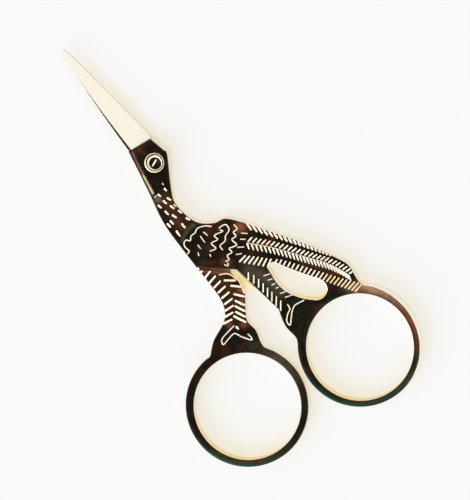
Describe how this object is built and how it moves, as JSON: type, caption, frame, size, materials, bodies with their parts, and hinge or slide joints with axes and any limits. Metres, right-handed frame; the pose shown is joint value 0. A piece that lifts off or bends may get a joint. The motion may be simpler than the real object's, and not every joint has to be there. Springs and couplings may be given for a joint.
{
  "type": "embroidery scissors",
  "caption": "Small stork-shaped embroidery scissors: two forged halves with fine pointed blades and finger rings, turning on a slotted pivot screw.",
  "frame": {"origin": "on the pivot axis at the back face, on the screw's flush end", "axes": "+Y from the pivot towards the blade tips, +Z along the pivot axis out of the front face, +X to the right seen from the front"},
  "size_m": [0.0472, 0.091, 0.0036],
  "materials": {
    "antiqued_bronze": "steel plated gold and antiqued dark bronze on the flats, gold left in the engraved lines and on the edges, blades ground bright",
    "screw_gold": "gold plated, dark in the middle of the head"
  },
  "bodies": {
    "rear": {"rear_half": "antiqued_bronze", "pivot_screw": "screw_gold"},
    "front": {"front_half": "antiqued_bronze"}
  },
  "joints": [
    {"name": "blade_pivot", "type": "hinge", "parent": "rear", "child": "front", "pos_m": [0, 0, 0], "axis": [0, 0, 1], "range_deg": [-1, 65]}
  ]
}
